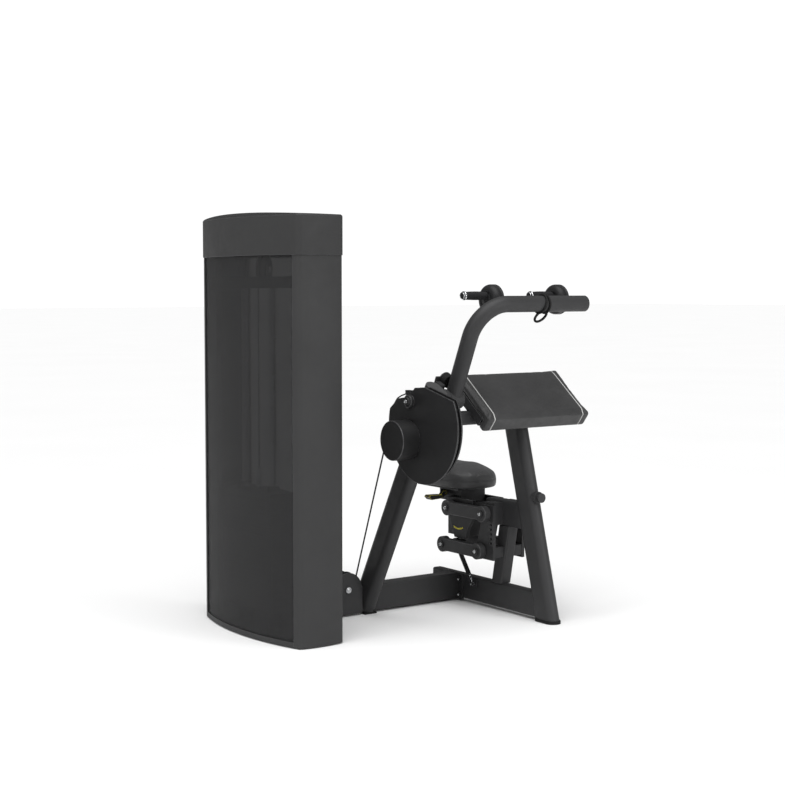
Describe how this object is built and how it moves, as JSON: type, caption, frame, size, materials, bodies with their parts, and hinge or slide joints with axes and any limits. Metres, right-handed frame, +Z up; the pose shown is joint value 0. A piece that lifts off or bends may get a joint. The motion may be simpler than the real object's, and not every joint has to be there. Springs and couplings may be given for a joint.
{
  "type": "seated arm machine",
  "caption": "Selectorised seated arm-extension machine: weight-stack tower, cable-driven swinging arm with swivel grips, sloping elbow pad and adjustable seat.",
  "frame": {"origin": "on the floor, under the middle of the machine's bounding box", "axes": "+Z up, +X from the weight tower towards the seat, the seated user faces -Y"},
  "size_m": [1.298, 0.961, 1.51],
  "materials": {
    "covers": "satin textured powder coat, dark grey",
    "panels": "smoked translucent acrylic",
    "cap": "satin grey moulded cap",
    "frame_paint": "satin charcoal powder coat",
    "steel_rod": "polished ground rod",
    "bolts": "zinc-plated",
    "plates": "black enamelled cast iron",
    "rubber": "matt black",
    "nylon": "matt black nylon",
    "cable": "black nylon-jacketed wire rope",
    "dark_paint": "fine-textured near-black paint",
    "upholstery": "dark grey grained vinyl",
    "board": "black moulded backing",
    "cap_plastic": "grey moulded end cap",
    "yellow": "yellow moulded plastic",
    "shroud": "charcoal moulded plastic",
    "grip": "black ribbed rubber"
  },
  "bodies": {
    "frame": {"tower_base": "covers", "front_column": "covers", "rear_column": "covers", "outer_panel": "panels", "inner_panel": "panels", "tower_cap": "cap", "tower_frame": "frame_paint", "guide_rods": "steel_rod", "stack_bumpers": "rubber", "resting_plates": "plates", "pulley_axles": "bolts", "pulley_plates": "frame_paint", "base_rail": "frame_paint", "cross_rail": "frame_paint", "joint_flange": "frame_paint", "frame_bolts": "bolts", "rubber_feet": "rubber", "arm_post": "frame_paint", "pad_post": "frame_paint", "end_caps": "cap_plastic", "seat_post": "frame_paint", "seat_beam": "frame_paint", "cross_beam": "frame_paint", "bearing_housing": "frame_paint", "rest_stop": "rubber", "accessory_peg": "frame_paint", "drive_cable": "cable", "pad_board": "board", "pad_cushion": "upholstery", "seat_bracket": "frame_paint"},
    "stack": {"lifted_plates": "plates", "top_plate": "plates", "selector_stem": "steel_rod"},
    "pin": {"selector_pin": "yellow"},
    "top_wheel": {"top_pulley": "nylon"},
    "lower_wheel": {"lower_pulley": "nylon"},
    "floor_wheel": {"floor_pulley": "nylon"},
    "arm": {"pivot_shaft": "bolts", "cam": "dark_paint", "cam_cover": "dark_paint", "counterweight": "dark_paint", "cam_cable": "cable", "arm_tube": "frame_paint", "arm_end_cap": "cap_plastic", "tube_ring": "dark_paint", "handle_brackets": "frame_paint"},
    "left_handle": {"left_handle_disc": "shroud", "left_grip": "grip"},
    "right_handle": {"right_handle_disc": "shroud", "right_grip": "grip"},
    "lower_arms": {"lower_links": "frame_paint"},
    "upper_arms": {"upper_links": "frame_paint"},
    "seat": {"seat_carrier": "frame_paint", "seat_shroud": "shroud", "carrier_pins": "bolts", "seat_pan": "frame_paint", "seat_cushion": "upholstery"},
    "lever": {"release_lever": "yellow"},
    "spring_rod": {"gas_rod": "steel_rod"},
    "spring_tube": {"gas_cylinder": "dark_paint"}
  },
  "joints": [
    {"name": "arm_swing", "type": "hinge", "parent": "frame", "child": "arm", "pos_m": [0.07, -0.206, 0.84], "axis": [1, 0, 0], "range_deg": [0, 115]},
    {"name": "stack_lift", "type": "slide", "parent": "frame", "child": "stack", "axis": [0, 0, 1], "range_m": [0, 0.216]},
    {"name": "pin_pull", "type": "slide", "parent": "stack", "child": "pin", "axis": [1, 0, 0], "range_m": [0, 0.075]},
    {"name": "top_wheel_spin", "type": "hinge", "parent": "frame", "child": "top_wheel", "pos_m": [-0.50323, 0.16826, 1.313], "axis": [-0.5737, 0.819, 0], "range_deg": [0, 246]},
    {"name": "lower_wheel_spin", "type": "hinge", "parent": "frame", "child": "lower_wheel", "pos_m": [-0.41946, 0.19752, 0.10634], "axis": [0, 1, 0], "range_deg": [-298, 0]},
    {"name": "floor_wheel_spin", "type": "hinge", "parent": "frame", "child": "floor_wheel", "pos_m": [-0.158, 0.179, 0.114], "axis": [0, 0.937, 0.3495], "range_deg": [-236, 0]},
    {"name": "left_handle_swivel", "type": "hinge", "parent": "arm", "child": "left_handle", "pos_m": [0.556, -0.228, 1.202], "axis": [1, 0, 0], "range_deg": [-90, 90]},
    {"name": "right_handle_swivel", "type": "hinge", "parent": "arm", "child": "right_handle", "pos_m": [0.238, -0.228, 1.202], "axis": [1, 0, 0], "range_deg": [-90, 90]},
    {"name": "seat_height", "type": "hinge", "parent": "frame", "child": "lower_arms", "pos_m": [0.4, -0.068, 0.235], "axis": [1, 0, 0], "range_deg": [0, 30]},
    {"name": "upper_arms_swing", "type": "hinge", "parent": "frame", "child": "upper_arms", "pos_m": [0.4, -0.096, 0.383], "axis": [1, 0, 0], "range_deg": [0, 30.5]},
    {"name": "seat_level", "type": "hinge", "parent": "lower_arms", "child": "seat", "pos_m": [0.4, 0.147, 0.235], "axis": [1, 0, 0], "range_deg": [-30.5, 0]},
    {"name": "lever_lift", "type": "hinge", "parent": "seat", "child": "lever", "pos_m": [0.324, 0.173, 0.437], "axis": [0, 1, 0], "range_deg": [0, 12], "stiffness_Nm_per_rad": 0.6, "springref_deg": -11.46},
    {"name": "spring_rod_tilt", "type": "hinge", "parent": "frame", "child": "spring_rod", "pos_m": [0.364, 0.039, 0.084], "axis": [1, 0, 0], "range_deg": [0, 19]},
    {"name": "spring_stroke", "type": "slide", "parent": "spring_rod", "child": "spring_tube", "axis": [0, 0.5817, 0.8134], "range_m": [0, 0.086]}
  ],
  "couplings": [
    {"joint": "stack_lift", "follows": "arm_swing", "m_per_rad": 0.107},
    {"joint": "top_wheel_spin", "follows": "arm_swing", "ratio": 2.098},
    {"joint": "lower_wheel_spin", "follows": "arm_swing", "ratio": -2.5476},
    {"joint": "floor_wheel_spin", "follows": "arm_swing", "ratio": -2.0189},
    {"joint": "upper_arms_swing", "follows": "seat_height", "ratio": 1},
    {"joint": "seat_level", "follows": "seat_height", "ratio": -1},
    {"joint": "spring_rod_tilt", "follows": "seat_height", "ratio": 0.618},
    {"joint": "spring_stroke", "follows": "seat_height", "m_per_rad": 0.162}
  ]
}
